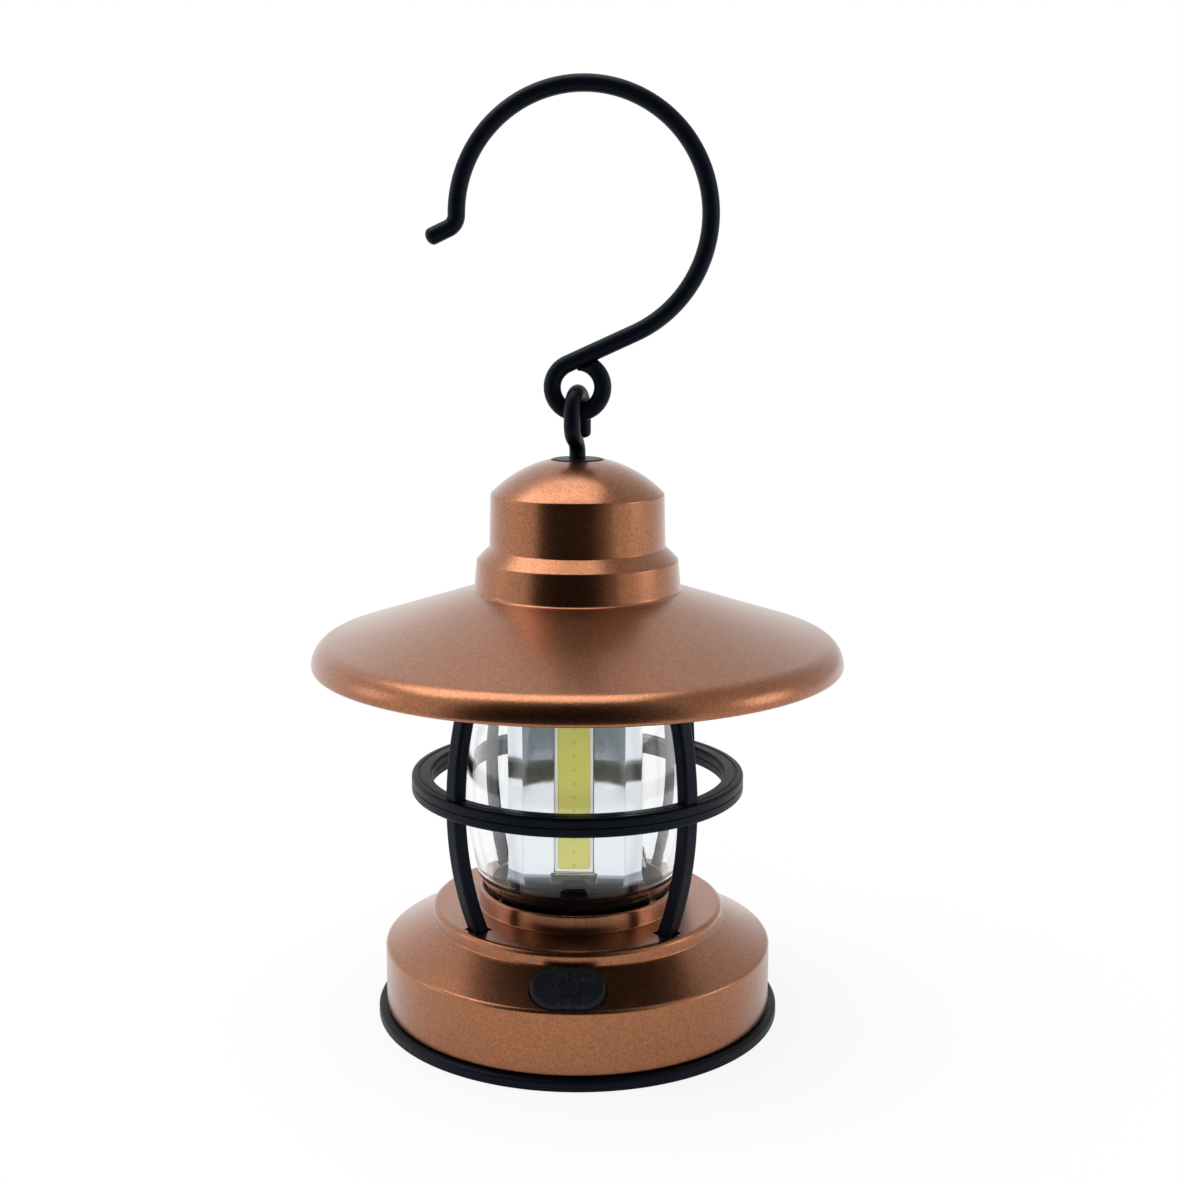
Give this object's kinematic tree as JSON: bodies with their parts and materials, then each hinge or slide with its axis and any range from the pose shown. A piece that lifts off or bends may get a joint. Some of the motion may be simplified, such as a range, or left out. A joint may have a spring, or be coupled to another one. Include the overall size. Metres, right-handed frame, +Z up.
{
  "type": "camping lantern",
  "caption": "Small battery camping lantern with a round twist-off base, a clear globe round a mirrored light column, a ribbed cage, a wide shade and a swinging wire hook.",
  "frame": {"origin": "on the lantern's axis, at the flat underside of the bottom cover", "axes": "+Z up along the lantern's axis, -Y the front with the button, +X to the right seen from the front"},
  "size_m": [0.09, 0.09, 0.1587],
  "materials": {
    "copper_paint": "moulded plastic sprayed with a metallic copper paint, satin with a fine sparkle",
    "black_wire": "bent steel wire, satin black coat",
    "black_plastic": "moulded, satin",
    "black_rubber": "moulded silicone, matt",
    "clear_plastic": "clear moulded, polished",
    "mirror_plating": "moulded plastic with a vacuum mirror coat",
    "plated_steel": "bright plated",
    "board_white": "white board",
    "phosphor": "yellow cast resin over the light chips",
    "board_green": "green board",
    "inner_plastic": "moulded, fine grain",
    "switch_red": "moulded",
    "lead_insulation": "soft insulation",
    "cell_jacket": "shrink jacket on a steel can, plain"
  },
  "bodies": {
    "lantern": {"shade": "copper_paint", "base_shell": "copper_paint", "crown_bush": "black_plastic", "upper_cage": "black_plastic", "lower_cage": "black_plastic", "upper_gasket": "black_rubber", "lower_gasket": "black_rubber", "shade_screws": "plated_steel", "column_top_screws": "plated_steel", "column_base_screws": "plated_steel", "board_screws": "plated_steel", "tray_screws": "plated_steel", "contact_springs": "plated_steel", "contact_plates": "plated_steel", "led_jumpers": "lead_insulation", "led_lead_red": "lead_insulation", "led_lead_black": "lead_insulation", "supply_lead_red": "lead_insulation", "supply_lead_black": "lead_insulation", "led_board_1": "board_white", "led_board_2": "board_white", "led_board_3": "board_white", "led_board_4": "board_white", "led_phosphor_1": "phosphor", "led_phosphor_2": "phosphor", "led_phosphor_3": "phosphor", "led_phosphor_4": "phosphor", "cell_1": "cell_jacket", "cell_2": "cell_jacket", "cell_3": "cell_jacket", "globe": "clear_plastic", "led_column": "mirror_plating", "ceiling_plate": "black_plastic", "battery_tray": "inner_plastic", "tact_switch": "inner_plastic", "driver_chip": "inner_plastic", "circuit_board": "board_green"},
    "hook": {"hook": "black_wire"},
    "eye": {"hook_eye": "black_wire", "eye_washer": "plated_steel", "eye_nut": "plated_steel"},
    "button": {"power_button": "black_rubber", "switch_plunger": "switch_red"},
    "cover": {"base_cover": "black_plastic"}
  },
  "joints": [
    {"name": "cover_twist", "type": "hinge", "parent": "lantern", "child": "cover", "pos_m": [0, 0, 0], "axis": [0, 0, 1], "range_deg": [0, 15]},
    {"name": "button_press", "type": "slide", "parent": "lantern", "child": "button", "axis": [0, 0.4559, -0.89], "range_m": [0, 0.0005], "stiffness_N_per_m": 2000, "springref_m": -0.0005},
    {"name": "eye_swivel", "type": "hinge", "parent": "lantern", "child": "eye", "pos_m": [0, 0, 0.1], "axis": [0, 0, 1], "continuous": true},
    {"name": "hook_swing", "type": "hinge", "parent": "eye", "child": "hook", "pos_m": [0, 0, 0.10424], "axis": [1, 0, 0], "range_deg": [-125, 125]}
  ]
}
